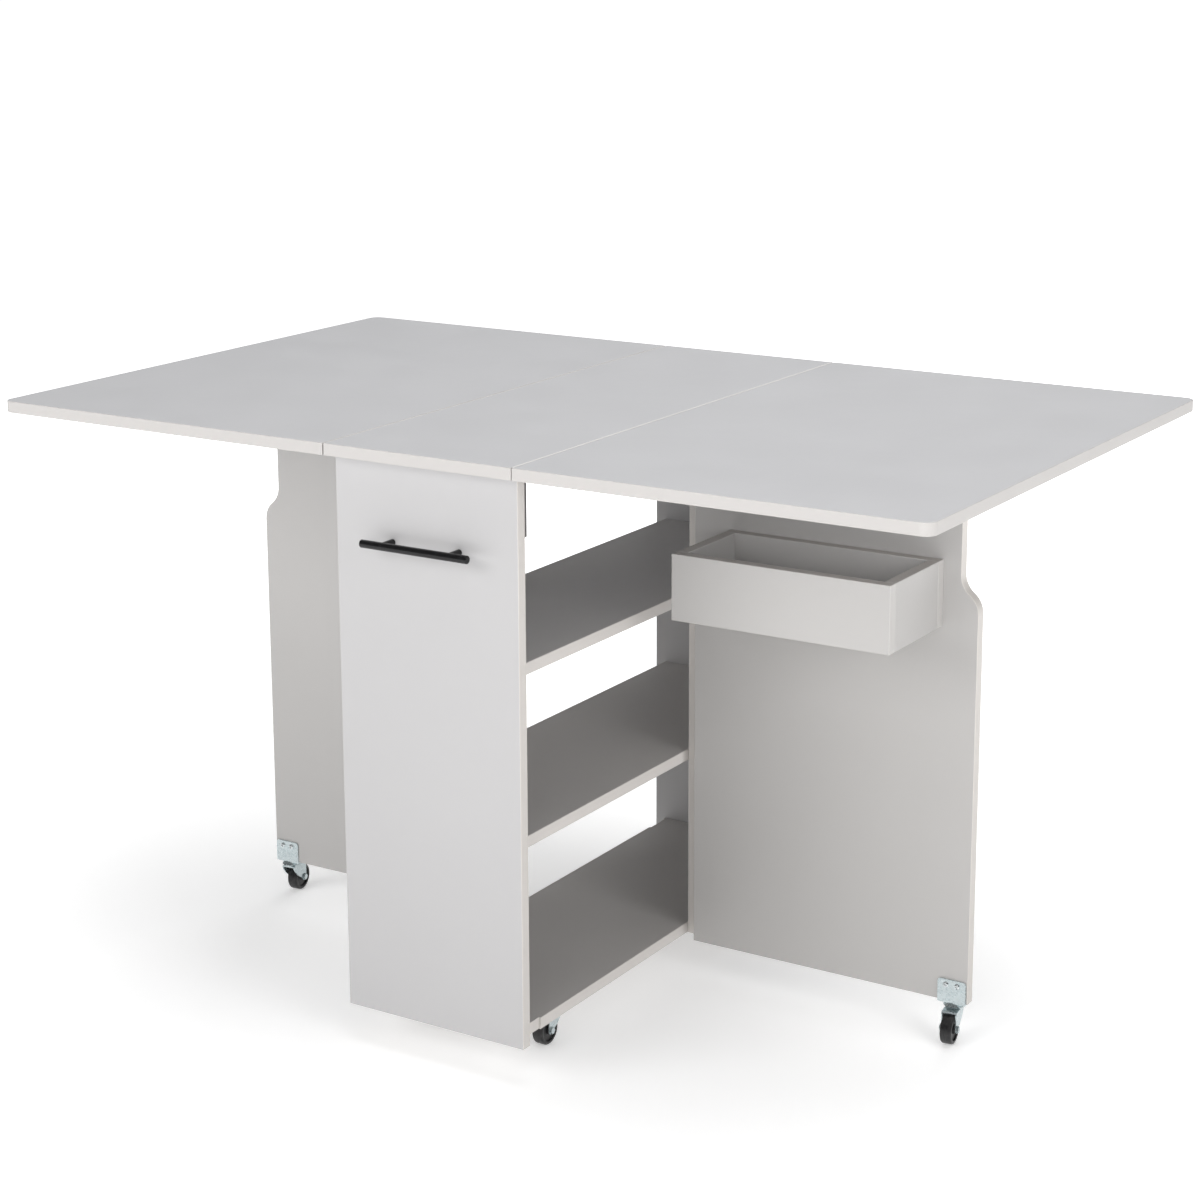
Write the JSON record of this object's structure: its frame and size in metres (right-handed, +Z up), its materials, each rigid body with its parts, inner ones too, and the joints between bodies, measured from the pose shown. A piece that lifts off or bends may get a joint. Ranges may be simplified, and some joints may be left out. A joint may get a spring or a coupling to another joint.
{
  "type": "folding drop-leaf table",
  "caption": "Folding table: a narrow castored shelf trolley carries a fixed strip of top, drop leaves, and swing-out gates with castors and boxes that hold the leaves up",
  "frame": {"origin": "on the floor, under the middle of the table top", "axes": "+X along the open table, +Y across it away from the towel bar, +Z up"},
  "size_m": [1.312, 0.8105, 0.77],
  "materials": {
    "table_top": "light grey laminated board with an off-white edge band, satin",
    "board": "warm grey melamine-faced board with matching edge bands, satin",
    "zinc": "bright zinc-plated pressed steel",
    "castor_wheel": "black moulded plastic, slightly worn",
    "towel_bar": "matt black powder coat",
    "glide": "off-white plastic, matt"
  },
  "bodies": {
    "cabinet": {"bottom_shelf": "board", "castor_kingpins": "zinc", "castor_plates": "zinc", "centre_top": "table_top", "far_end_panel": "board", "left_side_panel": "board", "mid_shelf": "board", "near_end_panel": "board", "right_side_panel": "board", "shelf_pins": "zinc", "side_hinge_leaves": "zinc", "side_hinge_pins": "zinc", "top_brackets": "zinc", "top_hinge_leaves": "zinc", "top_hinge_pins": "zinc", "top_shelf": "board", "towel_bar": "towel_bar", "towel_bar_bolts": "zinc", "towel_bar_posts": "towel_bar"},
    "far_left_castor": {"far_left_castor_axle": "zinc", "far_left_castor_fork": "zinc"},
    "far_left_wheel": {"far_left_castor_wheel": "castor_wheel"},
    "far_right_castor": {"far_right_castor_axle": "zinc", "far_right_castor_fork": "zinc"},
    "far_right_wheel": {"far_right_castor_wheel": "castor_wheel"},
    "left_gate": {"left_box_back": "board", "left_box_floor": "board", "left_box_front": "board", "left_box_sides": "board", "left_bracket_screws": "zinc", "left_gate_castor_bracket": "zinc", "left_gate_glide": "glide", "left_gate_hinge_leaves": "zinc", "left_gate_panel": "board"},
    "left_gate_castor": {"left_gate_castor_axle": "zinc", "left_gate_castor_fork": "zinc"},
    "left_gate_wheel": {"left_gate_castor_wheel": "castor_wheel"},
    "left_leaf": {"left_leaf": "table_top", "left_leaf_hinge_leaves": "zinc"},
    "near_left_castor": {"near_left_castor_axle": "zinc", "near_left_castor_fork": "zinc"},
    "near_left_wheel": {"near_left_castor_wheel": "castor_wheel"},
    "near_right_castor": {"near_right_castor_axle": "zinc", "near_right_castor_fork": "zinc"},
    "near_right_wheel": {"near_right_castor_wheel": "castor_wheel"},
    "right_gate": {"right_box_back": "board", "right_box_floor": "board", "right_box_front": "board", "right_box_sides": "board", "right_bracket_screws": "zinc", "right_gate_castor_bracket": "zinc", "right_gate_glide": "glide", "right_gate_hinge_leaves": "zinc", "right_gate_panel": "board"},
    "right_gate_castor": {"right_gate_castor_axle": "zinc", "right_gate_castor_fork": "zinc"},
    "right_gate_wheel": {"right_gate_castor_wheel": "castor_wheel"},
    "right_leaf": {"right_leaf": "table_top", "right_leaf_hinge_leaves": "zinc"}
  },
  "joints": [
    {"name": "right_leaf_hinge", "type": "hinge", "parent": "cabinet", "child": "right_leaf", "pos_m": [0.13475, 0, 0.7533], "axis": [0, -1, 0], "range_deg": [0, 3]},
    {"name": "left_leaf_hinge", "type": "hinge", "parent": "cabinet", "child": "left_leaf", "pos_m": [-0.13475, 0, 0.7533], "axis": [0, 1, 0], "range_deg": [0, 3]},
    {"name": "right_gate_hinge", "type": "hinge", "parent": "cabinet", "child": "right_gate", "pos_m": [0.1335, 0.0345, 0.4], "axis": [0, 0, 1], "range_deg": [-90, 0]},
    {"name": "left_gate_hinge", "type": "hinge", "parent": "cabinet", "child": "left_gate", "pos_m": [-0.1335, -0.0345, 0.4], "axis": [0, 0, 1], "range_deg": [-90, 0]},
    {"name": "near_right_castor_swivel", "type": "hinge", "parent": "cabinet", "child": "near_right_castor", "pos_m": [0.08, -0.241, 0.044], "axis": [0, 0, 1], "continuous": true},
    {"name": "near_right_wheel_spin", "type": "hinge", "parent": "near_right_castor", "child": "near_right_wheel", "pos_m": [0.08, -0.258, 0.019], "axis": [1, 0, 0], "continuous": true},
    {"name": "near_left_castor_swivel", "type": "hinge", "parent": "cabinet", "child": "near_left_castor", "pos_m": [-0.08, -0.241, 0.044], "axis": [0, 0, 1], "continuous": true},
    {"name": "near_left_wheel_spin", "type": "hinge", "parent": "near_left_castor", "child": "near_left_wheel", "pos_m": [-0.08, -0.258, 0.019], "axis": [1, 0, 0], "continuous": true},
    {"name": "far_right_castor_swivel", "type": "hinge", "parent": "cabinet", "child": "far_right_castor", "pos_m": [0.08, 0.241, 0.044], "axis": [0, 0, 1], "continuous": true},
    {"name": "far_right_wheel_spin", "type": "hinge", "parent": "far_right_castor", "child": "far_right_wheel", "pos_m": [0.08, 0.224, 0.019], "axis": [1, 0, 0], "continuous": true},
    {"name": "far_left_castor_swivel", "type": "hinge", "parent": "cabinet", "child": "far_left_castor", "pos_m": [-0.08, 0.241, 0.044], "axis": [0, 0, 1], "continuous": true},
    {"name": "far_left_wheel_spin", "type": "hinge", "parent": "far_left_castor", "child": "far_left_wheel", "pos_m": [-0.08, 0.224, 0.019], "axis": [1, 0, 0], "continuous": true},
    {"name": "right_gate_castor_swivel", "type": "hinge", "parent": "right_gate", "child": "right_gate_castor", "pos_m": [0.5085, 0.024, 0.044], "axis": [0, 0, 1], "continuous": true},
    {"name": "right_gate_wheel_spin", "type": "hinge", "parent": "right_gate_castor", "child": "right_gate_wheel", "pos_m": [0.51057, 0.00713, 0.019], "axis": [0.9925, 0.1219, 0], "continuous": true},
    {"name": "left_gate_castor_swivel", "type": "hinge", "parent": "left_gate", "child": "left_gate_castor", "pos_m": [-0.5085, -0.024, 0.044], "axis": [0, 0, 1], "continuous": true},
    {"name": "left_gate_wheel_spin", "type": "hinge", "parent": "left_gate_castor", "child": "left_gate_wheel", "pos_m": [-0.51057, -0.00713, 0.019], "axis": [-0.9925, -0.1219, 0], "continuous": true}
  ]
}
